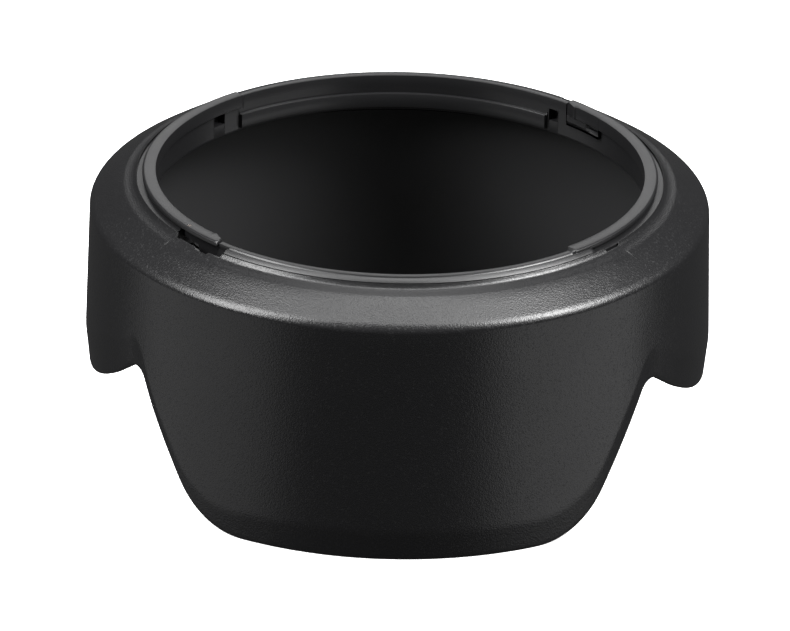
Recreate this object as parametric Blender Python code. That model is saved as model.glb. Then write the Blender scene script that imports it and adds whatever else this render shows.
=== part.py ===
"""Petal lens hood with a bayonet mouth: outer shell, bayonet ring, two sprung click tongues, inner lining.

The hood stands on the tips of its two long petals at z = 0, with +Z along the optical axis to the lens end.
Azimuth 0 points along -Y, to the middle of a long petal, and grows towards +X. Dimensions are in millimetres.
The object is the same after half a turn about the axis, apart from the index dot.
"""

from math import acos, atan2, ceil, cos, pi, radians, sin, tan

import bmesh
import bpy
from mathutils import Vector

MM = 0.001
GAP = 0.3  # clearance between neighbouring pieces

# Lens end
HEIGHT = 35.6  # petal tips to the lens seat
MOUTH_RADIUS = 31.5  # between the upper flanges
RELIEF_RADIUS = 32.0  # between the flange ends, where the lens lugs enter
LAND_RADIUS = 33.25  # outer edge of the seat
RIM_DROP = 0.3  # relief rim below the seat
FLANGE_THICKNESS = 1.8
FLANGE_START = 42.3  # degrees

# Collar of the bayonet ring
COLLAR_RADIUS = 33.45
COLLAR_RIM_RADIUS = 32.85
COLLAR_BEVEL_TOP = 1.1
COLLAR_BEVEL_BOTTOM = 1.4
COLLAR_DEPTH = 5.2
FOOT_RADIUS = 37.6
FOOT_TOP = 6.3
FOOT_BOTTOM = 7.6
BEAD_START = -40.3  # degrees
BEAD_END = 49.0
BEAD_TOP = 0.42
BEAD_BOTTOM = 1.12
LEDGE_START = -36.6  # degrees
LEDGE_END = 43.0
LEDGE_TOP = 3.2
LEDGE_SLOPE = 0.6
LEDGE_THICKNESS = 1.6

# Click tongue: the last stretch of each upper flange, freed by a slot behind it
TONGUE_ROOT = -54.5  # degrees
TONGUE_TIP = -43.1
TONGUE_CUT_ROOT = -55.05
TONGUE_CUT_TIP = -42.5
TONGUE_LIP = 0.6
TONGUE_BACK_RADIUS = 32.7
TONGUE_WEB_RADIUS = 31.9
TONGUE_WEB_DEPTH = 2.8
TONGUE_WEB_START = 0.44  # share of the length from the root
NUB_LENGTH = 1.6  # degrees
NUB_RISE = 0.2

# Slots beside the collar: the long one frees the tongue, the short one is a shallow pocket
SLOT_START = -54.3  # degrees
SLOT_END = -41.2
SLOT_RADIUS = 33.95
SLOT_DEPTH = 4.5
SLOT_POCKET_START = -49.0
SLOT_POCKET_END = -44.6
SLOT_POCKET_RADIUS = 34.15
SHORT_SLOT_START = 50.0
SHORT_SLOT_END = 56.0
SHORT_SLOT_RADIUS = 34.0
SHORT_SLOT_DEPTH = 2.5

# Windows through the collar under the flanges
WINDOW_TOP = 1.5
WINDOW_BOTTOM = 3.5
TIP_WINDOW_START = -40.1  # degrees
TIP_WINDOW_END = -37.0
SHORT_WINDOW_START = 47.9
SHORT_WINDOW_END = 51.6

# Shell: cone, shoulder and flared wall
HOLE_RADIUS = COLLAR_RADIUS + GAP
CONE_DROP = 1.55  # hole edge below the seat
CONE_END_RADIUS = 36.6
CONE_END_DROP = 2.45
SHOULDER_RADIUS = 40.0
SHOULDER_DROP = 4.8
FLARE = 0.0426  # growth of the radius for each millimetre towards the petals
WALL = 1.7
SHOULDER_STEPS = 5

# Petals, on the wall unrolled at this radius: corner azimuths, edge heights and corner radii
EDGE_RADIUS = 41.2
LONG_CORNER = 36.0  # degrees
LONG_CORNER_ROUND = 12.6
NOTCH = 53.6
NOTCH_HEIGHT = 18.35
NOTCH_ROUND = 2.5
SHORT_CORNER = 74.8
SHORT_HEIGHT = 8.9
SHORT_CORNER_ROUND = 38.0
ROUND_STEPS = 7
BEVEL_KEYS = (  # azimuth, height of the edge bevel, the same after half a turn
    (-90.0, 5.0),
    (-66.0, 5.4),
    (-56.0, 4.4),
    (-48.0, 2.3),
    (-36.0, 3.2),
    (-24.0, 4.0),
    (24.0, 4.0),
    (48.0, 4.4),
    (66.0, 5.0),
    (90.0, 5.0),
)
BEVEL_SLOPE = 0.18
LARGEST_STEP = 6.0  # degrees between columns

# Lining and index dot
LINING_THICKNESS = 0.4
LINING_TOP = 27.7
LINING_EDGE = 1.0  # the lining stops this far above the petal edge
DOT_AZIMUTH = -53.2
DOT_RADIUS = 0.3
DOT_ORBIT = 32.6
DOT_RECESS = 0.05


def clear_scene():
    for obj in list(bpy.data.objects):
        bpy.data.objects.remove(obj, do_unlink=True)


def finish(name, colour, roughness):
    """A plastic, lining or paint with its own colour and roughness."""
    material = bpy.data.materials.new(name)
    material.use_nodes = True
    shader = material.node_tree.nodes["Principled BSDF"]
    shader.inputs["Base Color"].default_value = (*colour, 1.0)
    shader.inputs["Roughness"].default_value = roughness
    shader.inputs["Metallic"].default_value = 0.0
    return material


def point(azimuth, radius, height):
    angle = radians(azimuth)
    return Vector((radius * sin(angle), -radius * cos(angle), height)) * MM


def below_seat(profile):
    """A profile of (radius, drop below the seat) as (radius, height)."""
    return [(radius, HEIGHT - drop) for radius, drop in profile]


def block(inner, outer, top, bottom):
    """A rectangular profile between two radii and two drops below the seat."""
    return below_seat([(inner, top), (outer, top), (outer, bottom), (inner, bottom)])


def loft(name, sections, closed):
    """A solid through sections of equal point count, closed into a ring or capped at both ends."""
    mesh = bmesh.new()
    loops = [[mesh.verts.new(place) for place in section] for section in sections]
    pairs = list(zip(loops, loops[1:]))
    if closed:
        pairs.append((loops[-1], loops[0]))
    else:
        mesh.faces.new(loops[0])
        mesh.faces.new(loops[-1])
    count = len(loops[0])
    for first, second in pairs:
        for i in range(count):
            j = (i + 1) % count
            mesh.faces.new((first[i], first[j], second[j], second[i]))
    bmesh.ops.recalc_face_normals(mesh, faces=mesh.faces)
    data = bpy.data.meshes.new(name)
    mesh.to_mesh(data)
    mesh.free()
    obj = bpy.data.objects.new(name, data)
    bpy.context.collection.objects.link(obj)
    return obj


def sector(name, profile, start, end, step=3.0):
    """A profile of (radius, height) turned about the axis from one azimuth to another."""
    steps = ceil((end - start) / step)
    azimuths = [start + (end - start) * i / steps for i in range(steps + 1)]
    return loft(name, [[point(a, r, z) for r, z in profile] for a in azimuths], closed=False)


def ring(name, profile, count=120):
    azimuths = [360.0 * i / count for i in range(count)]
    return loft(name, [[point(a, r, z) for r, z in profile] for a in azimuths], closed=True)


def combine(target, tool, operation):
    """A Boolean modifier with a hidden tool object."""
    modifier = target.modifiers.new(tool.name, "BOOLEAN")
    modifier.object = tool
    modifier.operation = operation
    modifier.solver = "EXACT"
    tool.hide_render = True
    tool.display_type = "WIRE"


def both_sides(target, operation, name, profile, start, end):
    """Joins or cuts the same sector at the near side and half a turn on."""
    for side, turn in (("near", 0.0), ("far", 180.0)):
        combine(target, sector(f"{name}_{side}", profile, start + turn, end + turn), operation)


def dress(obj, material, smooth_angle=35.0):
    obj.data.materials.append(material)
    obj.data.shade_smooth()
    obj.data.set_sharp_from_angle(angle=radians(smooth_angle))


def rounded(points, radii, steps):
    """A polyline in the plane with each inner corner replaced by an arc of its radius."""
    outline = [Vector(points[0])]
    for before, corner, after, radius in zip(points, points[1:], points[2:], radii):
        corner = Vector(corner)
        back = (Vector(before) - corner).normalized()
        onward = (Vector(after) - corner).normalized()
        half = acos(back.dot(onward)) / 2
        centre = corner + (back + onward).normalized() * radius / sin(half)
        first = corner + back * radius / tan(half) - centre
        last = corner + onward * radius / tan(half) - centre
        start = atan2(first.y, first.x)
        turn = (atan2(last.y, last.x) - start + pi) % (2 * pi) - pi
        for i in range(steps + 1):
            angle = start + turn * i / steps
            outline.append(centre + Vector((cos(angle), sin(angle))) * radius)
    outline.append(Vector(points[-1]))
    return outline


def petal_quadrant():
    """(azimuth, edge height) from the middle of a long petal to the middle of a short one."""
    arc = EDGE_RADIUS * pi / 180.0
    corners = [
        (0.0, 0.0),
        (LONG_CORNER * arc, 0.0),
        (NOTCH * arc, NOTCH_HEIGHT),
        (SHORT_CORNER * arc, SHORT_HEIGHT),
        (90.0 * arc, SHORT_HEIGHT),
    ]
    radii = [LONG_CORNER_ROUND, NOTCH_ROUND, SHORT_CORNER_ROUND]
    outline = [(p.x / arc, max(p.y, 0.0)) for p in rounded(corners, radii, ROUND_STEPS)]
    filled = []
    for (a, low), (b, high) in zip(outline, outline[1:]):
        steps = max(1, ceil((b - a) / LARGEST_STEP))
        filled += [(a + (b - a) * i / steps, low + (high - low) * i / steps) for i in range(steps)]
    return filled + [outline[-1]]


def petal_columns():
    """(azimuth, edge height) all the way round, from four mirrored quadrants."""
    quadrant = petal_quadrant()
    half = quadrant + [(180.0 - a, e) for a, e in reversed(quadrant[:-1])]
    return half[:-1] + [(a + 180.0, e) for a, e in half[:-1]]


def bevel_height(azimuth):
    """Height of the bevel along the petal edge, eased between its keys."""
    folded = (azimuth + 90.0) % 180.0 - 90.0
    for (a, low), (b, high) in zip(BEVEL_KEYS, BEVEL_KEYS[1:]):
        if folded <= b:
            break
    t = (folded - a) / (b - a)
    return low + (high - low) * t * t * (3 - 2 * t)


def wall_radius(height):
    """Outer radius of the flared wall."""
    return SHOULDER_RADIUS + FLARE * (HEIGHT - SHOULDER_DROP - height)


def shoulder_curve():
    """The rounded shoulder from the end of the cone to the top of the wall, without its first point."""
    slope = (CONE_END_DROP - CONE_DROP) / (CONE_END_RADIUS - HOLE_RADIUS)
    corner = (SHOULDER_RADIUS, CONE_END_DROP + slope * (SHOULDER_RADIUS - CONE_END_RADIUS))
    curve = []
    for i in range(1, SHOULDER_STEPS + 1):
        t = i / SHOULDER_STEPS
        weights = ((1 - t) ** 2, 2 * t * (1 - t), t * t)
        ends = ((CONE_END_RADIUS, CONE_END_DROP), corner, (SHOULDER_RADIUS, SHOULDER_DROP))
        curve.append(tuple(sum(w * p[k] for w, p in zip(weights, ends)) for k in (0, 1)))
    return below_seat(curve)


def petal_shell():
    """Cone, shoulder and flared wall down to the petal edges, with a bevel outside along them."""
    top = below_seat([(HOLE_RADIUS, CONE_DROP), (CONE_END_RADIUS, CONE_END_DROP)])
    shoulder = shoulder_curve()
    inside_top = below_seat(
        [
            (SHOULDER_RADIUS - WALL, SHOULDER_DROP + WALL),
            (CONE_END_RADIUS + 0.3, CONE_END_DROP + WALL + 0.2),
            (HOLE_RADIUS, CONE_DROP + WALL),
        ]
    )
    sections = []
    for azimuth, edge in petal_columns():
        bevel = bevel_height(azimuth)
        wall = [
            (wall_radius(edge + bevel), edge + bevel),
            (wall_radius(edge) - BEVEL_SLOPE * bevel, edge),
            (wall_radius(edge) - WALL, edge),
        ]
        profile = top + shoulder + wall + inside_top
        sections.append([point(azimuth, r, z) for r, z in profile])
    shell = loft("petal_shell", sections, closed=True)
    slot = block(COLLAR_RADIUS - 1, SLOT_RADIUS, 0.5, SLOT_DEPTH)
    both_sides(shell, "DIFFERENCE", "slot_cut", slot, SLOT_START, SLOT_END)
    pocket = block(COLLAR_RADIUS - 1, SLOT_POCKET_RADIUS, 0.5, SLOT_DEPTH)
    both_sides(shell, "DIFFERENCE", "slot_pocket_cut", pocket, SLOT_POCKET_START, SLOT_POCKET_END)
    short = block(COLLAR_RADIUS - 1, SHORT_SLOT_RADIUS, 0.5, SHORT_SLOT_DEPTH)
    both_sides(shell, "DIFFERENCE", "short_slot_cut", short, SHORT_SLOT_START, SHORT_SLOT_END)
    return shell


def bayonet_ring():
    """Collar with its upper flanges, lower ledges and bead, cut away where the tongues and lugs pass."""
    collar = below_seat(
        [
            (RELIEF_RADIUS, RIM_DROP),
            (COLLAR_RIM_RADIUS, RIM_DROP),
            (COLLAR_RIM_RADIUS, COLLAR_BEVEL_TOP),
            (COLLAR_RADIUS, COLLAR_BEVEL_BOTTOM),
            (COLLAR_RADIUS, CONE_DROP + WALL + 0.8),
            (FOOT_RADIUS, FOOT_TOP),
            (FOOT_RADIUS, FOOT_BOTTOM),
            (RELIEF_RADIUS, COLLAR_DEPTH),
        ]
    )
    body = ring("bayonet_ring", collar)
    flange = block(MOUTH_RADIUS, LAND_RADIUS, 0.0, FLANGE_THICKNESS)
    both_sides(body, "UNION", "flange", flange, FLANGE_START, 180.0 + TONGUE_CUT_ROOT + 1.0)
    ledge = below_seat(
        [
            (MOUTH_RADIUS, LEDGE_TOP),
            (COLLAR_RIM_RADIUS, LEDGE_TOP - LEDGE_SLOPE),
            (COLLAR_RIM_RADIUS, LEDGE_TOP + LEDGE_THICKNESS + 0.2),
            (MOUTH_RADIUS, LEDGE_TOP + LEDGE_THICKNESS),
        ]
    )
    both_sides(body, "UNION", "ledge", ledge, LEDGE_START, LEDGE_END)
    bead = below_seat(
        [
            (COLLAR_RIM_RADIUS - 0.3, BEAD_TOP),
            (COLLAR_RIM_RADIUS + 0.05, BEAD_TOP),
            (COLLAR_RADIUS - 0.02, BEAD_BOTTOM),
            (COLLAR_RADIUS - 0.02, BEAD_BOTTOM + 1),
            (COLLAR_RIM_RADIUS - 0.3, BEAD_BOTTOM + 1),
        ]
    )
    both_sides(body, "UNION", "bead", bead, BEAD_START, BEAD_END)
    tongue_bay = block(MOUTH_RADIUS - 1, COLLAR_RADIUS + 1, -1.0, TONGUE_WEB_DEPTH + GAP)
    both_sides(body, "DIFFERENCE", "tongue_bay", tongue_bay, TONGUE_CUT_ROOT, TONGUE_CUT_TIP)
    slot_side = block(COLLAR_RIM_RADIUS - 0.1, COLLAR_RADIUS + 1, -1.0, TONGUE_WEB_DEPTH + GAP)
    both_sides(body, "DIFFERENCE", "slot_side", slot_side, TONGUE_CUT_TIP - 1.0, SLOT_END)
    window = block(MOUTH_RADIUS - 1, COLLAR_RADIUS + 1, WINDOW_TOP, WINDOW_BOTTOM)
    both_sides(body, "DIFFERENCE", "tip_window", window, TIP_WINDOW_START, TIP_WINDOW_END)
    both_sides(body, "DIFFERENCE", "short_window", window, SHORT_WINDOW_START, SHORT_WINDOW_END)
    return body


def tongue_profile(inner, depth):
    """A wide lip above, the flange's thickness behind it and a thinner web below down to a depth."""
    return below_seat(
        [
            (inner, 0.0),
            (LAND_RADIUS, 0.0),
            (LAND_RADIUS, TONGUE_LIP),
            (TONGUE_BACK_RADIUS, TONGUE_LIP),
            (TONGUE_BACK_RADIUS, depth),
            (TONGUE_WEB_RADIUS, depth),
            (TONGUE_WEB_RADIUS, FLANGE_THICKNESS),
            (inner, FLANGE_THICKNESS),
        ]
    )


def click_tongue(name, turn):
    """A sprung flange end whose origin is on the outside of its flexing root. Its click nub leans into the mouth."""
    root = point(TONGUE_ROOT + turn, LAND_RADIUS, HEIGHT)
    stretch = TONGUE_TIP - TONGUE_ROOT
    nub = 1.0 - NUB_LENGTH / stretch
    stations = [(0.0, 0.0), (0.2, 0.0), (TONGUE_WEB_START - 0.01, 0.0), (TONGUE_WEB_START, 0.0), (0.65, 0.0)]
    stations += [(nub, 0.0), (nub + 0.05, NUB_RISE), (0.93, NUB_RISE), (1.0, -2 * NUB_RISE)]
    sections = []
    for share, rise in stations:
        azimuth = TONGUE_ROOT + turn + stretch * share
        depth = TONGUE_WEB_DEPTH if share >= TONGUE_WEB_START else FLANGE_THICKNESS + 0.1
        profile = tongue_profile(MOUTH_RADIUS - rise, depth)
        sections.append([point(azimuth, r, z) - root for r, z in profile])
    tongue = loft(name, sections, closed=False)
    tongue.location = root
    return tongue


def disc(name, centre, radius, low, high, count=20):
    """An upright disc between two heights."""
    mesh = bmesh.new()
    bmesh.ops.create_cone(
        mesh, cap_ends=True, segments=count, radius1=radius * MM, radius2=radius * MM, depth=(high - low) * MM
    )
    data = bpy.data.meshes.new(name)
    mesh.to_mesh(data)
    mesh.free()
    obj = bpy.data.objects.new(name, data)
    obj.location = (centre.x, centre.y, (low + high) / 2 * MM)
    bpy.context.collection.objects.link(obj)
    return obj


def index_dot(tongue):
    """A dot of paint in a shallow recess of the tongue's land."""
    centre = point(DOT_AZIMUTH, DOT_ORBIT, HEIGHT)
    recess = disc("dot_recess", centre, DOT_RADIUS + DOT_RECESS, HEIGHT - GAP, HEIGHT + GAP)
    combine(tongue, recess, "DIFFERENCE")
    return disc("index_dot", centre, DOT_RADIUS, HEIGHT - GAP + DOT_RECESS, HEIGHT - DOT_RECESS / 2)


def light_trap_liner():
    """The matte lining that follows the inside of the wall down into the petals."""
    sections = []
    for azimuth, edge in petal_columns():
        bottom = edge + LINING_EDGE
        outside = [(wall_radius(z) - WALL - GAP, z) for z in (LINING_TOP, bottom)]
        inside = [(r - LINING_THICKNESS, z) for r, z in reversed(outside)]
        sections.append([point(azimuth, r, z) for r, z in outside + inside])
    return loft("light_trap_liner", sections, closed=True)


def main():
    clear_scene()
    satin = finish("black_satin_polycarbonate", (0.012, 0.012, 0.013), 0.42)
    fine = finish("black_fine_polycarbonate", (0.020, 0.020, 0.021), 0.38)
    acetal = finish("black_acetal", (0.020, 0.020, 0.021), 0.36)
    flock = finish("black_matte_lining", (0.008, 0.008, 0.009), 0.90)
    paint = finish("worn_index_paint", (0.080, 0.058, 0.048), 0.50)
    dress(petal_shell(), satin)
    dress(bayonet_ring(), fine)
    left = click_tongue("click_tongue_left", 0.0)
    dress(left, acetal)
    dress(click_tongue("click_tongue_right", 180.0), acetal)
    dress(index_dot(left), paint)
    dress(light_trap_liner(), flock)


main()
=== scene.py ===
"""Studio scene of a petal lens hood with a bayonet mouth and two sprung click tongues.

The hood stands on the tips of its two long petals at z = 0, with +Z along the optical axis to the lens end.
Azimuth 0 points along -Y, to the middle of the near long petal, and grows towards +X. Sizes are in
millimetres and become metres when a point is placed. The shell, the ring and the lining are the same after
half a turn, so each is lofted over one half and a Geometry Nodes tree repeats it about the axis.
"""

import logging
from collections.abc import Callable, Sequence
from dataclasses import dataclass, field
from enum import Enum
from math import acos, atan2, ceil, cos, pi, radians, sin, tan
from typing import Any

import bmesh
import bpy
from mathutils import Matrix, Vector


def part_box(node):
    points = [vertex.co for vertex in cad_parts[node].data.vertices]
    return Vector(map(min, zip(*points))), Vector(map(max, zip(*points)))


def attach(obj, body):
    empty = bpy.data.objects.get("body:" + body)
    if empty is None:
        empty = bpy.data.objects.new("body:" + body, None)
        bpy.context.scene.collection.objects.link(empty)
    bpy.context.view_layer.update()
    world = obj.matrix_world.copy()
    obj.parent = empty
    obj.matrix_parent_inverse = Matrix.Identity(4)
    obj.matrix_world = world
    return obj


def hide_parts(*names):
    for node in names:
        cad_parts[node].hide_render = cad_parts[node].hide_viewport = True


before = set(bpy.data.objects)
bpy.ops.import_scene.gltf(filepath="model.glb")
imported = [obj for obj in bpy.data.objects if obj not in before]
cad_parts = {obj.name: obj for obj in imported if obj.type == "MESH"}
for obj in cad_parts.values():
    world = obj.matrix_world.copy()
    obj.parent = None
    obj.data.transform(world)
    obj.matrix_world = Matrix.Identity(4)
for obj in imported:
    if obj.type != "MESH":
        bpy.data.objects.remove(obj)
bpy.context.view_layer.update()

LOG = logging.getLogger("lens_hood")

MM = 0.001
HALF_TURN = 180.0
LENS_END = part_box("bayonet_ring")[1].z / MM  # height of the lens seat
SAME_POINT = 0.0015  # mm within which two corners of a finished piece are welded
SAME_COLUMN = 0.03  # degrees within which two columns of a loft count as one

Pair = tuple[float, float]
Profile = list[Pair]
Section = Callable[[float], Profile]


# ---------------------------------------------------------------------------------------------------------
# Shapes
# ---------------------------------------------------------------------------------------------------------


def place(azimuth: float, radius: float, drop: float) -> Vector:
    """A point at an azimuth in degrees, a radius and a drop below the lens seat, in metres."""
    angle = radians(azimuth)
    return Vector((radius * sin(angle), -radius * cos(angle), LENS_END - drop)) * MM


def direction(azimuth: float, elevation: float) -> Vector:
    """The unit vector from the hood towards an azimuth and an elevation, both in degrees."""
    a, e = radians(azimuth), radians(elevation)
    return Vector((sin(a) * cos(e), -cos(a) * cos(e), sin(e)))


def smooth(share: float) -> float:
    """Eases a share from 0 to 1 without a kink at either end."""
    share = min(1.0, max(0.0, share))
    return share * share * (3.0 - 2.0 * share)


def mix(first: Pair, second: Pair, share: float) -> Pair:
    """A point part of the way between two."""
    return (first[0] + (second[0] - first[0]) * share, first[1] + (second[1] - first[1]) * share)


def blend(first: Profile, second: Profile, share: float) -> Profile:
    """A profile part of the way between two with the same number of points."""
    return [mix(a, b, share) for a, b in zip(first, second, strict=True)]


def curve(start: Pair, control: Pair, end: Pair, steps: int) -> Profile:
    """A quadratic arc that leaves out its first point.

    Args:
        start: First end of the arc.
        control: Where the tangents of both ends meet.
        end: Last end of the arc.
        steps: Number of pieces.

    Returns:
        The points after the start, up to and with the end.
    """
    shares = [i / steps for i in range(1, steps + 1)]
    return [mix(mix(start, control, share), mix(control, end, share), share) for share in shares]


def line(start: Pair, end: Pair, steps: int) -> Profile:
    """Evenly spaced points from a start, which is left out, to an end."""
    return [mix(start, end, i / steps) for i in range(1, steps + 1)]


@dataclass(frozen=True)
class Span:
    """A stretch of azimuth where a feature stands, easing in and out over a ramp outside each end."""

    start: float
    end: float
    ramp: float = 0.25
    fade: float = 0.0  # length of the ramp at the far end, where it differs

    def share(self, azimuth: float) -> float:
        """How much of the feature there is at an azimuth, from 0 to 1."""
        if azimuth < self.start:
            return smooth(1.0 - (self.start - azimuth) / self.ramp)
        return smooth(1.0 - max(0.0, azimuth - self.end) / (self.fade or self.ramp))

    def columns(self) -> list[float]:
        """The azimuths a mesh needs to show both of its ends."""
        shares = [i / 4 for i in range(5)]
        fade = self.fade or self.ramp
        return [self.start - self.ramp * s for s in shares] + [self.end + fade * s for s in shares]


def azimuths(start: float, end: float, step: float, spans: Sequence[Span] = ()) -> list[float]:
    """Columns for a loft.

    Args:
        start: First azimuth in degrees.
        end: Last azimuth in degrees.
        step: Widest gap between plain columns.
        spans: Features whose ends get columns of their own.

    Returns:
        Sorted azimuths with both ends in the list.
    """
    count = ceil((end - start) / step)
    plain = {round(start + (end - start) * i / count, 4) for i in range(count + 1)}
    extra = {round(a, 4) for span in spans for a in span.columns() if start < a < end}
    wanted = sorted(plain | extra)
    kept = [wanted[0]]
    for azimuth in wanted[1:-1]:
        if azimuth in extra or azimuth - kept[-1] > step / 4:
            kept.append(azimuth)
    return kept + [wanted[-1]]


def merged(first: Sequence[float], second: Sequence[float]) -> list[float]:
    """Sorted columns of two lists, without those too close to the one before, with both ends kept."""
    wanted = sorted({*first, *second})
    kept = [wanted[0]]
    for azimuth in wanted[1:]:
        if azimuth - kept[-1] > SAME_COLUMN:
            kept.append(azimuth)
    return kept[:-1] + [wanted[-1]]


def loft(name: str, sections: Sequence[Sequence[Vector]], capped: bool) -> bpy.types.Object:
    """A skin through closed sections.

    Args:
        name: Name of the new object.
        sections: Loops of equally many points, in metres.
        capped: Whether the first and last loop are filled.

    Returns:
        The new object, linked to the scene.
    """
    mesh = bmesh.new()
    loops = [[mesh.verts.new(point) for point in section] for section in sections]
    count = len(loops[0])
    for first, second in zip(loops, loops[1:]):
        for i in range(count):
            j = (i + 1) % count
            mesh.faces.new((first[i], second[i], second[j], first[j]))
    if capped:
        mesh.faces.new(loops[0])
        mesh.faces.new(loops[-1][::-1])
        bmesh.ops.recalc_face_normals(mesh, faces=mesh.faces)
    return link(name, mesh)


def link(name: str, mesh: bmesh.types.BMesh) -> bpy.types.Object:
    """Turns an edit mesh into an object in the scene and frees the edit mesh."""
    data = bpy.data.meshes.new(name)
    mesh.to_mesh(data)
    mesh.free()
    made = bpy.data.objects.new(name, data)
    bpy.context.scene.collection.objects.link(made)
    return made


def half_loft(name: str, section: Section, columns: Sequence[float]) -> bpy.types.Object:
    """One half of a ring-shaped piece, open at both ends, for HalfTurnPattern to repeat."""
    loops = [[place(a, r, d) for r, d in section(a)] for a in columns]
    return loft(name, loops, capped=False)


def tidy(piece: bpy.types.Object, sharp: float = 32.0) -> bpy.types.Object:
    """Welds a closed piece, drops faces without area, points it outwards and shades it smooth.

    Args:
        piece: The piece, whose mesh is changed.
        sharp: Edges that turn more than this many degrees stay crisp.

    Returns:
        The same piece.
    """
    mesh = bmesh.new()
    mesh.from_mesh(piece.data)
    bmesh.ops.remove_doubles(mesh, verts=mesh.verts, dist=SAME_POINT * MM)
    bmesh.ops.dissolve_degenerate(mesh, edges=mesh.edges, dist=SAME_POINT * MM)
    bmesh.ops.recalc_face_normals(mesh, faces=mesh.faces)
    mesh.to_mesh(piece.data)
    mesh.free()
    piece.data.shade_smooth()
    piece.data.set_sharp_from_angle(angle=radians(sharp))
    return piece


# ---------------------------------------------------------------------------------------------------------
# Node trees
# ---------------------------------------------------------------------------------------------------------


def add_node(
    tree: bpy.types.NodeTree,
    kind: str,
    settings: dict[str, Any] | None = None,
    inputs: dict[str | int, Any] | None = None,
) -> bpy.types.Node:
    """Adds a node with its settings, socket values and links.

    Args:
        tree: The tree that gets the node.
        kind: Blender's name for the node type.
        settings: Attributes of the node.
        inputs: For each input by name or number, a value, or a socket to link from.

    Returns:
        The new node.
    """
    node = tree.nodes.new(kind)
    for key, value in (settings or {}).items():
        setattr(node, key, value)
    for key, value in (inputs or {}).items():
        if isinstance(value, bpy.types.NodeSocket):
            tree.links.new(value, node.inputs[key])
        else:
            node.inputs[key].default_value = value
    return node


def mix_colours(
    tree: bpy.types.NodeTree, share: bpy.types.NodeSocket, first: str, second: str
) -> bpy.types.NodeSocket:
    """A colour that drifts between two hex codes.

    Args:
        tree: The tree that gets the node.
        share: Socket that says how much of the second colour there is.
        first: Hex code where the share is 0.
        second: Hex code where the share is 1.

    Returns:
        The socket with the mixed colour.
    """
    first_input, second_input, colour_output = 6, 7, 2  # the sockets of this node share their names
    colours = {"Factor": share, first_input: linear(first), second_input: linear(second)}
    node = add_node(tree, "ShaderNodeMix", {"data_type": "RGBA"}, colours)
    return node.outputs[colour_output]


@dataclass(frozen=True)
class HalfTurnPattern:
    """Geometry Nodes that repeat one segment about the optical axis and weld the copies."""

    copies: int = 2
    weld: float = 0.002  # mm, well under the narrowest step of any profile

    def tree(self) -> bpy.types.NodeTree:
        """The node tree, with the number of copies, the weld distance and the finish as inputs."""
        found = bpy.data.node_groups.get("repeat_about_axis")
        if found:
            return found
        tree = bpy.data.node_groups.new("repeat_about_axis", "GeometryNodeTree")
        face = tree.interface
        face.new_socket("Segment", in_out="INPUT", socket_type="NodeSocketGeometry")
        face.new_socket("Copies", in_out="INPUT", socket_type="NodeSocketInt")
        face.new_socket("Weld distance", in_out="INPUT", socket_type="NodeSocketFloat")
        face.new_socket("Finish", in_out="INPUT", socket_type="NodeSocketMaterial")
        face.new_socket("Piece", in_out="OUTPUT", socket_type="NodeSocketGeometry")
        given = add_node(tree, "NodeGroupInput").outputs
        axis = add_node(
            tree, "GeometryNodeMeshLine", inputs={"Count": given["Copies"], "Offset": (0, 0, 0)}
        )
        index = add_node(tree, "GeometryNodeInputIndex").outputs[0]
        share = add_node(tree, "ShaderNodeMath", {"operation": "DIVIDE"}, {0: index, 1: given["Copies"]})
        angle = add_node(
            tree, "ShaderNodeMath", {"operation": "MULTIPLY"}, {0: share.outputs[0], 1: 2 * pi}
        )
        turn = add_node(tree, "ShaderNodeCombineXYZ", inputs={"Z": angle.outputs[0]})
        rotation = add_node(tree, "FunctionNodeEulerToRotation", inputs={0: turn.outputs[0]})
        spread = add_node(
            tree,
            "GeometryNodeInstanceOnPoints",
            inputs={
                "Points": axis.outputs[0],
                "Instance": given["Segment"],
                "Rotation": rotation.outputs[0],
            },
        )
        real = add_node(tree, "GeometryNodeRealizeInstances", inputs={0: spread.outputs[0]})
        welded = add_node(
            tree,
            "GeometryNodeMergeByDistance",
            inputs={"Geometry": real.outputs[0], "Distance": given["Weld distance"]},
        )
        dressed = add_node(
            tree,
            "GeometryNodeSetMaterial",
            inputs={"Geometry": welded.outputs[0], "Material": given["Finish"]},
        )
        add_node(tree, "NodeGroupOutput", inputs={0: dressed.outputs[0]})
        return tree

    def apply(self, segment: bpy.types.Object, finish: bpy.types.Material) -> bpy.types.Object:
        """Replaces a segment by the whole piece as a plain mesh.

        Args:
            segment: One copy's share of the piece, open at both ends.
            finish: Material of the whole piece.

        Returns:
            The same object, holding the welded mesh and no modifier.
        """
        tree = self.tree()
        modifier = segment.modifiers.new("repeat", "NODES")
        modifier.node_group = tree
        sockets = {s.name: s.identifier for s in tree.interface.items_tree if s.in_out == "INPUT"}
        modifier[sockets["Copies"]] = self.copies
        modifier[sockets["Weld distance"]] = self.weld * MM
        modifier[sockets["Finish"]] = finish
        graph = bpy.context.evaluated_depsgraph_get()
        whole = bpy.data.meshes.new_from_object(segment.evaluated_get(graph), depsgraph=graph)
        segment.modifiers.remove(modifier)
        segment.data = whole
        return tidy(segment)


# ---------------------------------------------------------------------------------------------------------
# Finishes
# ---------------------------------------------------------------------------------------------------------


def linear(code: str) -> tuple[float, float, float, float]:
    """The linear colour of an sRGB hex code such as "#1c1c1d"."""
    parts = [int(code[i : i + 2], 16) / 255 for i in (1, 3, 5)]
    bright = [p / 12.92 if p <= 0.04045 else ((p + 0.055) / 1.055) ** 2.4 for p in parts]
    return (bright[0], bright[1], bright[2], 1.0)


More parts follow.
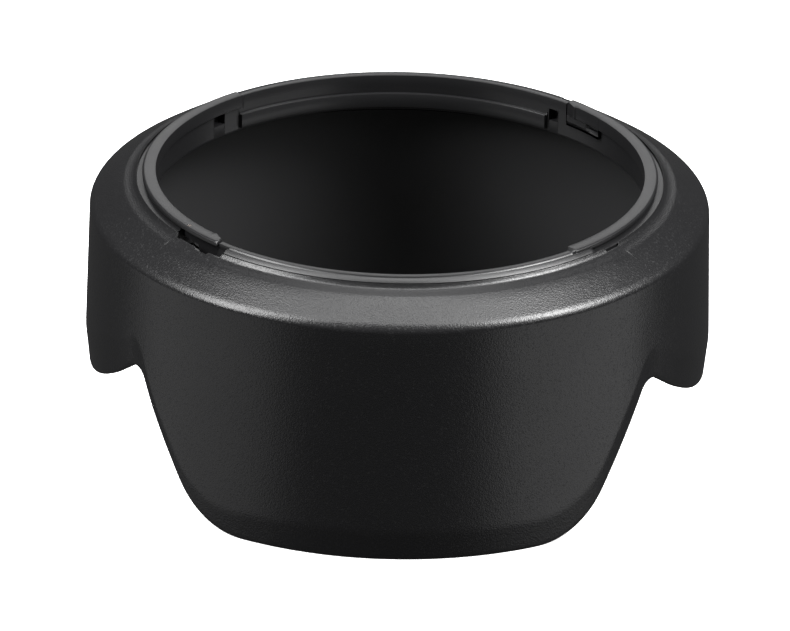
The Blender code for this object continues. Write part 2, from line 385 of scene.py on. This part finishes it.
@dataclass(frozen=True)
class MouldedPlastic:
    """A moulded black plastic with the fine grain that its mould was given.

    The grain is a field of rounded pits with a finer noise over it. It scatters the reflection of a light
    into small bright and dark specks, which show most where the light falls off.
    """

    name: str
    colour: str
    roughness: float
    grain: float  # mm between pits
    relief: float  # mm from the top of the grain to the bottom of a pit
    cloud: float = 0.05  # share by which roughness drifts
    cloud_size: float = 7.0  # mm over which it drifts
    speck: float = 0.04  # roughness added where the finer noise is high
    ior: float = 1.5

    def build(self) -> bpy.types.Material:
        """The material."""
        made = bpy.data.materials.new(self.name)
        made.use_nodes = True
        tree = made.node_tree
        shader = tree.nodes["Principled BSDF"]
        shader.inputs["Base Color"].default_value = linear(self.colour)
        shader.inputs["IOR"].default_value = self.ior
        where = add_node(tree, "ShaderNodeTexCoord").outputs["Object"]
        pits = add_node(
            tree,
            "ShaderNodeTexVoronoi",
            {"feature": "SMOOTH_F1"},
            {"Vector": where, "Scale": 1 / (self.grain * MM), "Smoothness": 0.6},
        )
        fine = add_node(
            tree,
            "ShaderNodeTexNoise",
            inputs={"Vector": where, "Scale": 0.6 / (self.grain * MM), "Detail": 2.0, "Roughness": 0.6},
        )
        height = add_node(
            tree, "ShaderNodeMath", {"operation": "ADD"}, {0: pits.outputs["Distance"], 1: fine.outputs[0]}
        )
        bump = add_node(
            tree,
            "ShaderNodeBump",
            inputs={"Height": height.outputs[0], "Distance": self.relief * MM, "Strength": 1.0},
        )
        tree.links.new(bump.outputs[0], shader.inputs["Normal"])
        drift = add_node(
            tree,
            "ShaderNodeTexNoise",
            inputs={"Vector": where, "Scale": 1 / (self.cloud_size * MM), "Detail": 3.0},
        )
        low, high = self.roughness * (1 - self.cloud), self.roughness * (1 + self.cloud)
        clouded = add_node(
            tree,
            "ShaderNodeMapRange",
            inputs={
                "Value": drift.outputs[0],
                "From Min": 0.3,
                "From Max": 0.7,
                "To Min": low,
                "To Max": high,
            },
        )
        specks = add_node(
            tree,
            "ShaderNodeMapRange",
            inputs={"Value": fine.outputs[0], "From Min": 0.55, "From Max": 0.75, "To Max": self.speck},
        )
        total = add_node(
            tree, "ShaderNodeMath", {"operation": "ADD"}, {0: clouded.outputs[0], 1: specks.outputs[0]}
        )
        tree.links.new(total.outputs[0], shader.inputs["Roughness"])
        return made


@dataclass(frozen=True)
class FlockedLining:
    """Short black fibres glued upright, which swallow light at every angle but a low one."""

    name: str = "black_flocked_lining"
    colour: str = "#232324"
    # painted shade: the darker colour given to the low places between the fibres
    painted_shade_between_fibres: str = "#1a1a1b"
    fibre: float = 0.12  # mm between fibres, drawn coarser than the real 0.03 so that it shows
    nap: float = 0.02  # mm by which the fibres' ends differ

    def build(self) -> bpy.types.Material:
        """The material."""
        made = bpy.data.materials.new(self.name)
        made.use_nodes = True
        tree = made.node_tree
        shader = tree.nodes["Principled BSDF"]
        shader.inputs["Roughness"].default_value = 0.62
        shader.inputs["Specular IOR Level"].default_value = 0.35
        shader.inputs["Sheen Weight"].default_value = 0.03
        shader.inputs["Sheen Roughness"].default_value = 0.5
        where = add_node(tree, "ShaderNodeTexCoord").outputs["Object"]
        ends = add_node(
            tree,
            "ShaderNodeTexNoise",
            inputs={"Vector": where, "Scale": 1 / (self.fibre * MM), "Detail": 2.0, "Roughness": 0.7},
        ).outputs[0]
        # The colour follows the fibre height, so the low places between the fibres get painted shade
        tree.links.new(mix_colours(tree, ends, self.painted_shade_between_fibres, self.colour), shader.inputs["Base Color"])
        bump = add_node(
            tree, "ShaderNodeBump", inputs={"Height": ends, "Distance": self.nap * MM, "Strength": 0.8}
        )
        tree.links.new(bump.outputs[0], shader.inputs["Normal"])
        return made


@dataclass(frozen=True)
class IndexPaint:
    """A dab of index paint worn back to a warm grey, a little chalky."""

    name: str = "worn_index_paint"
    colour: str = "#4d423c"
    worn: str = "#2c2a29"
    patch: float = 0.25  # mm across a worn patch

    def build(self) -> bpy.types.Material:
        """The material."""
        made = bpy.data.materials.new(self.name)
        made.use_nodes = True
        tree = made.node_tree
        shader = tree.nodes["Principled BSDF"]
        shader.inputs["Roughness"].default_value = 0.42
        where = add_node(tree, "ShaderNodeTexCoord").outputs["Object"]
        wear = add_node(
            tree,
            "ShaderNodeTexNoise",
            inputs={"Vector": where, "Scale": 1 / (self.patch * MM), "Detail": 2.0},
        ).outputs[0]
        tree.links.new(mix_colours(tree, wear, self.colour, self.worn), shader.inputs["Base Color"])
        return made


# Polycarbonate from a spark-eroded mould: satin black, with pits of about 0.2 mm
SHELL_PLASTIC = MouldedPlastic(
    "spark_eroded_polycarbonate", colour="#171718", roughness=0.29, grain=0.19, relief=0.016, speck=0.22
)
# The ring's mould was only fine blasted, so its land is smoother and reflects more evenly
RING_PLASTIC = MouldedPlastic(
    "fine_blasted_polycarbonate", colour="#19191a", roughness=0.33, grain=0.12, relief=0.003
)
# Acetal bends without tiring and is slightly waxy
TONGUE_PLASTIC = MouldedPlastic(
    "moulded_acetal", colour="#19191a", roughness=0.33, grain=0.12, relief=0.003, ior=1.48
)


# ---------------------------------------------------------------------------------------------------------
# Pieces of the hood
# ---------------------------------------------------------------------------------------------------------


@dataclass(frozen=True)
class PetalEdge:
    """The edge of the petals on the unrolled wall, from the middle of a long petal to that of a short one."""

    radius: float = 41.2  # of the wall when unrolled
    long_corner: Pair = (36.0, 12.6)  # azimuth, corner radius
    notch: tuple[float, float, float] = (53.6, 18.35, 2.5)  # azimuth, height, corner radius
    short_corner: Pair = (74.8, 38.0)
    short_height: float = 8.9
    bevels: tuple[Pair, ...] = (  # azimuth, height of the bevel along the edge
        (-90.0, 4.9),
        (-66.0, 5.4),
        (-56.0, 4.4),
        (-48.0, 2.3),
        (-36.0, 3.2),
        (-24.0, 4.0),
        (24.0, 4.0),
        (48.0, 4.4),
        (66.0, 5.0),
        (90.0, 4.9),
    )

    def outline(self, steps: int = 24) -> Profile:
        """(azimuth, height) along a quarter of the edge, with its corners rounded."""
        arc = self.radius * pi / HALF_TURN
        notch_at, notch_height, notch_round = self.notch
        points = [
            Vector((0.0, 0.0)),
            Vector((self.long_corner[0] * arc, 0.0)),
            Vector((notch_at * arc, notch_height)),
            Vector((self.short_corner[0] * arc, self.short_height)),
            Vector((90.0 * arc, self.short_height)),
        ]
        rounds = (self.long_corner[1], notch_round, self.short_corner[1])
        path = [points[0]]
        for before, corner, after, radius in zip(points, points[1:], points[2:], rounds):
            back, onward = (before - corner).normalized(), (after - corner).normalized()
            half = acos(back.dot(onward)) / 2
            centre = corner + (back + onward).normalized() * radius / sin(half)
            first = corner + back * radius / tan(half) - centre
            last = corner + onward * radius / tan(half) - centre
            start = atan2(first.y, first.x)
            sweep = (atan2(last.y, last.x) - start + pi) % (2 * pi) - pi
            for i in range(steps + 1):
                angle = start + sweep * i / steps
                path.append(centre + Vector((cos(angle), sin(angle))) * radius)
        path.append(points[-1])
        return [(p.x / arc, max(p.y, 0.0)) for p in path]

    def columns(self) -> list[float]:
        """Azimuths of the outline's points over a half turn, from one short petal's middle to the next."""
        quarter = [a for a, _ in self.outline() if a < 90.0]
        return sorted({round(sign * a, 4) for a in quarter for sign in (-1, 1)})

    def height(self, azimuth: float) -> float:
        """Height of the edge above the tips of the long petals."""
        folded = abs(azimuth)
        path = self.outline()
        for (a, low), (b, high) in zip(path, path[1:]):
            if folded <= b:
                return low + (high - low) * max(0.0, folded - a) / max(b - a, 1e-9)
        return self.short_height

    def bevel(self, azimuth: float) -> float:
        """Height of the bevel along the edge, eased between its keys."""
        for (a, low), (b, high) in zip(self.bevels, self.bevels[1:]):
            if azimuth <= b:
                return low + (high - low) * smooth((azimuth - a) / (b - a))
        return self.bevels[-1][1]


@dataclass
class HoodShell:
    """The outer shell: a coned front, a round shoulder and a flared wall cut into four petals."""

    hole: float = 34.0
    hole_drop: float = 1.13
    fillet: Pair = (0.5, 0.36)  # width and height of the rise towards the ring
    cone_end: Pair = (36.4, 2.02)  # where the front's two slopes meet
    slope_end: Pair = (40.0, 4.22)  # where the steeper slope would meet the wall
    shoulder: Pair = (40.05, 4.85)  # where the rounded shoulder ends
    flare_start: float = 8.0  # drop below which the wall widens
    flare_ease: float = 2.0  # mm above and below that over which the flare sets in
    flare: float = 0.0455  # growth of the radius for each millimetre below that
    wall: float = 1.7
    bevel_slope: float = 0.14
    edge_round: float = 0.18
    hole_round: float = 0.06
    edge: PetalEdge = field(default_factory=PetalEdge)
    slot: Span = Span(-53.4, -39.8, 0.4)
    slot_radius: float = 34.3
    pocket: Span = Span(-46.9, -43.3, 0.35)
    pocket_radius: float = 34.62
    tip: Span = Span(-53.6, -52.7, 0.4)
    tip_radius: float = 34.42
    short_slot: Span = Span(50.3, 54.3, 0.35)
    short_slot_radius: float = 34.26
    shelves: tuple[Span, ...] = (Span(-52.0, -48.3, 0.25), Span(-42.9, -41.6, 0.25), Span(49.5, 55.5, 0.1))
    shelf_radius: float = 34.05
    shelf_drop: float = 1.5

    def wall_radius(self, drop: float) -> float:
        """Outer radius at a drop below the seat, straight at first and then flared."""
        past, ease = drop - self.flare_start, self.flare_ease
        if abs(past) > ease:
            return self.shoulder[0] + self.flare * max(0.0, past)
        return self.shoulder[0] + self.flare * ((past + ease) ** 2 / (4 * ease))

    def cone_drop(self, radius: float) -> float:
        """Drop of the cone at a radius."""
        slope = (self.cone_end[1] - self.hole_drop) / (self.cone_end[0] - self.hole)
        rise = max(0.0, 1.0 - (radius - self.hole) / self.fillet[0])
        return self.hole_drop + slope * (radius - self.hole) - self.fillet[1] * rise * rise

    def hole_edge(self, azimuth: float) -> Profile:
        """The wall of the mouth from below up to the cone, set back where the slots are."""
        upper = self.hole
        upper += (self.slot_radius - self.hole) * self.slot.share(azimuth)
        upper += (self.pocket_radius - self.slot_radius) * self.pocket.share(azimuth)
        upper += (self.tip_radius - self.slot_radius) * self.tip.share(azimuth)
        upper += (self.short_slot_radius - self.hole) * self.short_slot.share(azimuth)
        shelf = sum(span.share(azimuth) for span in self.shelves)
        through = upper + (min(upper, self.shelf_radius) - upper) * shelf
        top = self.cone_drop(upper)
        ease = self.hole_round
        return [
            (through, self.hole_drop + self.wall),
            (through, self.shelf_drop + 0.02),
            (upper, self.shelf_drop),
            (upper, top + 0.15),
            (upper, top + ease),
            *curve((upper, top + ease), (upper, top), (upper + ease, self.cone_drop(upper + ease)), 4),
        ]

    def front(self, mouth: Pair) -> Profile:
        """The cone from the edge of the mouth, the steeper slope and the shoulder down to the wall."""
        near = mouth[0]
        past_fillet = max(near, self.hole + self.fillet[0]) + 0.05
        radii = [near + (past_fillet - near) * i / 6 for i in range(1, 6)] + [past_fillet, past_fillet + 0.3]
        fillet = [(radius, self.cone_drop(radius)) for radius in radii]
        cone_low = mix(mouth, self.cone_end, 0.7)
        slope_top = mix(self.cone_end, self.slope_end, 0.25)
        slope_low = mix(self.cone_end, self.slope_end, 0.76)
        return [
            *fillet,
            *line(fillet[-1], cone_low, 4),
            *curve(cone_low, self.cone_end, slope_top, 10),
            *line(slope_top, slope_low, 4),
            *curve(slope_low, self.slope_end, self.shoulder, 16),
        ]

    def section(self, azimuth: float) -> Profile:
        """The closed profile of (radius, drop) at an azimuth."""
        hole = self.hole_edge(azimuth)
        tip = LENS_END - self.edge.height(azimuth)
        bevel = self.edge.bevel(azimuth)
        crease = tip - bevel
        ease = min(0.7, bevel * 0.25)
        before = (self.wall_radius(crease - ease), crease - ease)
        kink = (self.wall_radius(crease), crease)
        after = (self.wall_radius(crease + ease) - self.bevel_slope * ease, crease + ease)
        foot = self.wall_radius(tip) - self.bevel_slope * bevel
        soft = self.edge_round
        low = (foot + self.bevel_slope * soft, tip - soft)
        inner = self.wall_radius(tip) - self.wall
        inner_top = (self.wall_radius(self.flare_start) - self.wall, self.flare_start)
        return [
            *hole,
            *self.front(hole[-1]),
            *line(self.shoulder, before, 14),
            *curve(before, kink, after, 6),
            *line(after, low, 5),
            *curve(low, (foot, tip), (foot - soft, tip), 5),
            *line((foot - soft, tip), (inner + soft, tip), 1),
            *curve((inner + soft, tip), (inner, tip), (inner, tip - soft), 5),
            *line((inner, tip - soft), inner_top, 8),
            (self.shoulder[0] - self.wall, self.shoulder[1] + self.wall),
            (self.cone_end[0] + 0.3, self.cone_end[1] + self.wall + 0.2),
        ]

    def build(self, finish: bpy.types.Material) -> bpy.types.Object:
        """The whole shell as one closed mesh."""
        spans = (self.slot, self.pocket, self.tip, self.short_slot)
        columns = merged(azimuths(-90.0, 90.0, 0.8, spans), self.edge.columns())
        half = half_loft("hood_shell", self.section, columns)
        return HalfTurnPattern().apply(half, finish)


@dataclass
class BayonetRing:
    """The lens end: a collar with two upper flanges, two lower ledges and a bead outside the gaps."""

    bore: float = 32.0
    rim: float = 32.85  # outside of the thin rim in the gaps between the flanges
    collar: float = 33.95
    gap: Span = Span(-42.5, 41.8, 1.1)
    bay: Span = Span(-55.03, -42.5, 0.02)
    bay_floor: float = 3.1
    bead: Span = Span(-39.2, 46.6, 0.33, fade=1.9)
    ledge: Span = Span(-36.6, 43.0, 0.4)
    window: Span = Span(-40.0, -37.4, 0.15)
    short_window: Span = Span(48.0, 51.5, 0.15)
    window_radius: float = 33.2
    slot_side: Span = Span(-42.5, -39.55, 0.02)

    def bottom(self) -> Profile:
        """The collar's outside below its bevel and the foot under the shell's shoulder, up to the bore."""
        foot = [(37.6, 6.3), (37.6, 7.6)]
        return [(self.collar, 4.05), *foot, (32.25, 5.25), (32.06, 5.2), (self.bore, 5.1)]

    def inside(self, azimuth: float) -> Profile:
        """The bore from its lower edge up to the flanges, with ledges and windows."""
        plain = [(self.bore, d) for d in (4.9, 4.8, 3.3, 3.2, 2.8, 1.85, 1.8)]
        shelf = [
            (32.0, 4.85), (31.55, 4.75), (31.5, 4.6),
            (31.5, 2.9), (31.54, 2.82), (32.0, 2.79), (32.0, 1.8),
        ]  # fmt: skip
        deep = self.window_radius
        pit = [
            (32.0, 3.5), (deep, 3.48), (deep, 3.3), (deep, 2.8),
            (deep, 1.9), (deep, 1.87), (32.0, 1.85),
        ]  # fmt: skip
        made = blend(plain, shelf, self.ledge.share(azimuth))
        return blend(made, pit, self.window.share(azimuth) + self.short_window.share(azimuth))

    def crown(self, azimuth: float) -> Profile:
        """The flange or rim from the bore over the top and down the outside, with or without the bead."""
        gap_plain = [
            (32.0, 1.75), (32.0, 1.7), (32.0, 0.42), (32.035, 0.335), (32.12, 0.3),
            (32.5, 0.3), (32.74, 0.3), (32.82, 0.33), (32.85, 0.42), (32.85, 0.6),
            (32.85, 0.7), (32.86, 0.85), (32.95, 0.94), (33.5, 1.0), (33.95, 1.03),
        ]  # fmt: skip
        gap_bead = gap_plain[:8] + [
            (32.87, 0.42), (32.97, 0.5), (33.16, 0.42), (33.32, 0.33),
            (33.62, 0.49), (33.9, 0.72), (33.95, 0.95),
        ]  # fmt: skip
        land_plain = [
            (31.58, 1.8), (31.5, 1.72), (31.5, 0.12), (31.535, 0.035), (31.62, 0.0),
            (32.4, 0.0), (32.92, 0.0), (33.08, 0.04), (33.2, 0.14), (33.25, 0.3),
            (33.23, 0.56), (32.98, 0.7), (32.95, 0.88), (33.5, 0.98), (33.95, 1.03),
        ]  # fmt: skip
        land_bead = land_plain[:9] + [
            (33.25, 0.36), (33.27, 0.42), (33.4, 0.4), (33.62, 0.5), (33.9, 0.72), (33.95, 0.95),
        ]  # fmt: skip
        gap = self.gap.share(azimuth)
        plain, beaded = blend(land_plain, gap_plain, gap), blend(land_bead, gap_bead, gap)
        return blend(plain, beaded, self.bead.share(azimuth))

    def section(self, azimuth: float) -> Profile:
        """The closed profile of (radius, drop) at an azimuth."""
        made = self.bottom() + self.inside(azimuth) + self.crown(azimuth)
        bay, side = self.bay.share(azimuth), self.slot_side.share(azimuth)
        cut = []
        for radius, drop in made:
            if bay:
                drop = drop + (max(drop, self.bay_floor) - drop) * bay
            if side and drop < self.bay_floor:
                radius = radius + (min(radius, self.rim) - radius) * side
            cut.append((radius, drop))
        return cut

    def build(self, finish: bpy.types.Material) -> bpy.types.Object:
        """The whole ring as one closed mesh."""
        spans = (self.gap, self.bay, self.bead, self.ledge, self.window, self.short_window, self.slot_side)
        half = half_loft("bayonet_collar", self.section, azimuths(-90.0, 90.0, 0.6, spans))
        return HalfTurnPattern().apply(half, finish)


class Side(Enum):
    """The two ends of the mouth that carry a click tongue, by how far each is turned."""

    LEFT = 0.0
    RIGHT = 180.0


@dataclass
class ClickTongue:
    """The sprung end of an upper flange, with a click nub at its tip."""

    side: Side
    root: float = -55.01
    web: float = -49.5  # from here on the tongue is deeper
    nub: float = -45.9
    tip: float = -42.53
    bore: float = 31.5
    land: float = 33.25
    thin_depth: float = 1.9
    web_depth: float = 0.9  # what the web adds
    nub_rise: float = 0.16
    nub_lead: float = 0.9  # degrees before the nub where it starts to rise
    nub_ramp: float = 0.7
    chamfer_end: float = -43.0
    chamfer_bore: float = 32.02
    tip_round: float = 0.45  # degrees over which the top comes down to the rim
    tip_drop: float = 0.26
    tip_slant: float = 0.28  # degrees for each millimetre inwards, so that the swinging tip clears the rim
    slant_reach: float = 1.2  # degrees from the tip over which the slant fades

    def inner(self, azimuth: float) -> float:
        """Radius of the inner edge, with the nub and the chamfer at the tip."""
        rise = self.nub_rise * smooth((azimuth - self.nub + self.nub_lead) / self.nub_ramp)
        along = min(1.0, max(0.0, (azimuth - self.nub) / (self.chamfer_end - self.nub)))
        back = (self.chamfer_bore - self.bore + rise) * along
        return self.bore - rise + back

    def section(self, azimuth: float) -> Profile:
        """The closed profile of (radius, drop) at an azimuth."""
        edge = self.inner(azimuth)
        depth = self.thin_depth + self.web_depth * smooth((azimuth - self.web) / 0.3)
        near_tip = max(0.0, 1.0 - (self.tip - azimuth) / self.tip_round)
        fall = self.tip_drop * near_tip * near_tip
        top = [
            (edge, 0.12), (edge + 0.035, 0.035), (edge + 0.12, 0.0), (32.45, 0.0),
            (32.92, 0.0), (33.08, 0.04), (33.2, 0.14), (self.land, 0.3),
        ]  # fmt: skip
        return [
            (edge + 0.1, 1.8), (edge, 1.7), *((radius, drop + fall) for radius, drop in top),
            (self.land, 0.56), (33.2, 0.62), (32.76, 0.64), (32.7, 0.7), (32.7, depth - 0.05),
            (32.65, depth), (31.95, depth), (31.9, depth - 0.05), (31.9, 1.85),
        ]  # fmt: skip

    def slant(self, azimuth: float, radius: float) -> float:
        """How far a point near the tip is set back, in degrees."""
        near_tip = max(0.0, 1.0 - (self.tip - azimuth) / self.slant_reach)
        return self.tip_slant * max(0.0, self.land - radius) * near_tip

    def column(self, azimuth: float) -> list[Vector]:
        """The section in place on this tongue's side of the mouth."""
        turned = azimuth + self.side.value
        return [place(turned - self.slant(azimuth, r), r, drop) for r, drop in self.section(azimuth)]

    def build(self, finish: bpy.types.Material) -> bpy.types.Object:
        """The tongue as one closed mesh."""
        name = f"click_tongue_{self.side.name.lower()}_moulding"
        columns = azimuths(self.root, self.tip, 0.12)
        tongue = loft(name, [self.column(azimuth) for azimuth in columns], capped=True)
        tongue.data.materials.append(finish)
        return tongue


@dataclass
class IndexDot:
    """A dab of paint in a shallow dimple of the left tongue's land."""

    azimuth: float = -53.2
    orbit: float = 32.6
    radius: float = 0.3
    depth: float = 0.12
    play: float = 0.03  # mm from the paint to the dimple's edge
    sink: float = 0.04  # mm of the dimple that the paint leaves free

    def stretch(self, piece: bpy.types.Object, wide: float, thick: float, drop: float) -> None:
        """Makes a unit ball into a flat lens at the dot's place.

        Args:
            piece: The ball, whose mesh is changed.
            wide: Half its width in millimetres.
            thick: Half its thickness in millimetres.
            drop: Drop of its middle below the lens seat.
        """
        shape = Matrix.Diagonal((wide * MM, wide * MM, thick * MM, 1))
        piece.data.transform(Matrix.Translation(place(self.azimuth, self.orbit, drop)) @ shape)

    def dimple(self, tongue: bpy.types.Object) -> None:
        """Sinks the dimple into the tongue."""
        mesh = bmesh.new()
        bmesh.ops.create_uvsphere(mesh, u_segments=40, v_segments=24, radius=1.0)
        cutter = link("dimple_tool", mesh)
        self.stretch(cutter, self.radius + self.play, self.depth, 0.0)
        modifier = tongue.modifiers.new("dimple", "BOOLEAN")
        modifier.object = cutter
        modifier.operation = "DIFFERENCE"
        modifier.solver = "EXACT"
        graph = bpy.context.evaluated_depsgraph_get()
        sunk = bpy.data.meshes.new_from_object(tongue.evaluated_get(graph), depsgraph=graph)
        tongue.modifiers.remove(modifier)
        tongue.data = sunk
        bpy.data.objects.remove(cutter)

    def build(self, finish: bpy.types.Material) -> bpy.types.Object:
        """The paint as a flat lens that fills the dimple almost to the land."""
        mesh = bmesh.new()
        bmesh.ops.create_uvsphere(mesh, u_segments=32, v_segments=16, radius=1.0)
        dab = link("index_dab", mesh)
        self.stretch(dab, self.radius, (self.depth - self.sink) / 2, self.depth / 2)
        dab.data.materials.append(finish)
        return tidy(dab)


@dataclass
class LightTrapLining:
    """The flock lining inside the wall, from under the shoulder down into the petals."""

    top: float = 7.63
    gap: float = 0.3
    thickness: float = 0.4
    margin: float = 1.0  # left bare along the petal edge
    soft: float = 0.1  # bevel along both edges
    shell: HoodShell = field(default_factory=HoodShell)

    def section(self, azimuth: float) -> Profile:
        """The closed profile of (radius, drop) at an azimuth."""
        low = LENS_END - self.shell.edge.height(azimuth) - self.margin
        outside_top, outside_low = self.shell.wall_radius(self.top), self.shell.wall_radius(low)
        back = self.shell.wall + self.gap
        front = back + self.thickness
        soft = self.soft
        start, end = (outside_low - front, low - soft), (outside_top - front, self.top + soft)
        return [
            (outside_top - back, self.top),
            (outside_low - back, low),
            (start[0] + soft, low),
            start,
            *line(start, end, 10),
            (end[0] + soft, self.top),
        ]

    def build(self, finish: bpy.types.Material) -> bpy.types.Object:
        """The whole lining as one closed mesh."""
        columns = merged(azimuths(-90.0, 90.0, 1.0), self.shell.edge.columns())
        half = half_loft("flock_lining", self.section, columns)
        return HalfTurnPattern().apply(half, finish)


# ---------------------------------------------------------------------------------------------------------
# Studio
# ---------------------------------------------------------------------------------------------------------


@dataclass(frozen=True)
class SoftBox:
    """A rectangular diffused light that faces the hood."""

    name: str
    azimuth: float  # degrees from the camera's side, growing to the right
    elevation: float  # degrees above the floor, or below it where negative
    radiance: float
    distance: float = 900.0  # mm
    size: Pair = (340.0, 340.0)  # mm
    aim: float = 20.0  # mm above the floor

    def build(self) -> None:
        """Puts the light in the scene."""
        lamp = bpy.data.lights.new(self.name, "AREA")
        lamp.shape = "RECTANGLE"
        lamp.size, lamp.size_y = self.size[0] * MM, self.size[1] * MM
        lamp.energy = self.radiance * pi * lamp.size * lamp.size_y
        light = bpy.data.objects.new(self.name, lamp)
        bpy.context.scene.collection.objects.link(light)
        away = direction(self.azimuth, self.elevation)
        light.location = Vector((0.0, 0.0, self.aim * MM)) + away * self.distance * MM
        light.rotation_euler = away.to_track_quat("Z", "Y").to_euler()


@dataclass
class Studio:
    """Pale floor, soft lights and the camera."""

    floor_size: float = 3000.0
    floor_drop: float = 0.02  # mm under the petal tips
    boxes: tuple[SoftBox, ...] = (
        SoftBox("arch_left_low", -65.0, 32.0, 15.0),
        SoftBox("arch_left", -74.0, 53.0, 13.0),
        SoftBox("arch_left_side", -82.0, 45.0, 3.6),
        SoftBox("arch_left_high", -84.0, 68.0, 4.4),
        SoftBox("arch_top", 180.0, 86.0, 5.6),
        SoftBox("arch_right_high", 84.0, 68.0, 6.0),
        SoftBox("arch_right_side", 82.0, 45.0, 15.0),
        SoftBox("arch_right", 74.0, 53.0, 19.0),
        SoftBox("arch_right_low", 65.0, 32.0, 5.0),
        SoftBox("back_high", 180.0, 60.0, 1.7),
        SoftBox("back_low", 180.0, 27.0, 1.5, size=(500.0, 340.0)),
        SoftBox("under_left", -74.0, -20.0, 0.6, distance=1000.0, size=(1150.0, 420.0)),
        SoftBox("under_right", 68.0, -20.0, 1.0, distance=1000.0, size=(1150.0, 420.0)),
    )
    distance: float = 693.06
    elevation: float = 25.10
    swing: float = 0.77  # degrees to the right of the near petal's middle
    roll: float = 1.06
    target: Pair = (-0.33, 21.0)  # sideways, drop below the lens seat
    focal_length: float = 241.75
    sensor: float = 36.0

    def build_world(self) -> None:
        """White to the camera and dim grey to everything else."""
        world = bpy.data.worlds.new("studio")
        bpy.context.scene.world = world
        world.use_nodes = True
        tree = world.node_tree
        tree.nodes.clear()
        seen = add_node(tree, "ShaderNodeLightPath").outputs["Is Camera Ray"]
        dim = add_node(tree, "ShaderNodeBackground", inputs={"Color": (1, 1, 1, 1), "Strength": 0.06})
        white = add_node(tree, "ShaderNodeBackground", inputs={"Color": (1, 1, 1, 1), "Strength": 1.0})
        both = add_node(
            tree, "ShaderNodeMixShader", inputs={0: seen, 1: dim.outputs[0], 2: white.outputs[0]}
        )
        add_node(tree, "ShaderNodeOutputWorld", inputs={"Surface": both.outputs[0]})

    def build_floor(self) -> None:
        """A sheet of white acrylic under the petals, lit from below and letting the low lights through."""
        mesh = bmesh.new()
        bmesh.ops.create_grid(mesh, x_segments=8, y_segments=8, size=self.floor_size / 2 * MM)
        floor = link("floor", mesh)
        sheet = bpy.data.materials.new("backlit_white_acrylic")
        sheet.use_nodes = True
        shader = sheet.node_tree.nodes["Principled BSDF"]
        shader.inputs["Base Color"].default_value = linear("#f4f4f4")
        shader.inputs["Roughness"].default_value = 0.9
        shader.inputs["Emission Color"].default_value = linear("#ffffff")
        shader.inputs["Emission Strength"].default_value = 0.82
        floor.data.materials.append(sheet)
        floor.location.z = -self.floor_drop * MM
        floor.visible_glossy = floor.visible_diffuse = floor.visible_shadow = False

    def build_camera(self) -> None:
        """The camera, and the colours as they are without a film curve."""
        lens = bpy.data.cameras.new("camera")
        lens.lens, lens.sensor_width, lens.sensor_fit = self.focal_length, self.sensor, "HORIZONTAL"
        lens.clip_start, lens.clip_end = 0.05, 10.0
        camera = bpy.data.objects.new("camera", lens)
        bpy.context.scene.collection.objects.link(camera)
        away = direction(self.swing, self.elevation)
        sideways = Vector((cos(radians(self.swing)), sin(radians(self.swing)), 0.0))
        aim = (sideways * self.target[0] + Vector((0, 0, LENS_END - self.target[1]))) * MM
        turn = away.to_track_quat("Z", "Y").to_matrix() @ Matrix.Rotation(radians(self.roll), 3, "Z")
        camera.matrix_world = Matrix.Translation(aim + away * self.distance * MM) @ turn.to_4x4()
        scene = bpy.context.scene
        scene.camera = camera
        scene.view_settings.view_transform = "Standard"

    def build(self) -> None:
        """Everything around the hood."""
        self.build_world()
        self.build_floor()
        for box in self.boxes:
            box.build()
        self.build_camera()


# ---------------------------------------------------------------------------------------------------------
# Assembly
# ---------------------------------------------------------------------------------------------------------


def mount(piece: bpy.types.Object, body: str, node: str) -> None:
    """Hands a finished piece to its body, in place of its CAD node."""
    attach(piece, body)
    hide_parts(node)
    LOG.info("%s rides on %s with %d faces", piece.name, body, len(piece.data.polygons))


def main() -> None:
    """Builds the studio and the pieces in order."""
    logging.basicConfig(level=logging.INFO, format="%(message)s")
    Studio().build()
    shell_finish = SHELL_PLASTIC.build()
    ring_finish = RING_PLASTIC.build()
    tongue_finish = TONGUE_PLASTIC.build()
    mount(HoodShell().build(shell_finish), "hood", "petal_shell")
    mount(BayonetRing().build(ring_finish), "hood", "bayonet_ring")
    mount(LightTrapLining().build(FlockedLining().build()), "hood", "light_trap_liner")
    dot = IndexDot()
    for side in Side:
        tongue = ClickTongue(side).build(tongue_finish)
        if side is Side.LEFT:
            dot.dimple(tongue)
        name = side.name.lower()
        mount(tidy(tongue), f"{name}_tongue", f"click_tongue_{name}")
    mount(dot.build(IndexPaint().build()), "left_tongue", "index_dot")


if __name__ == "__main__":
    main()
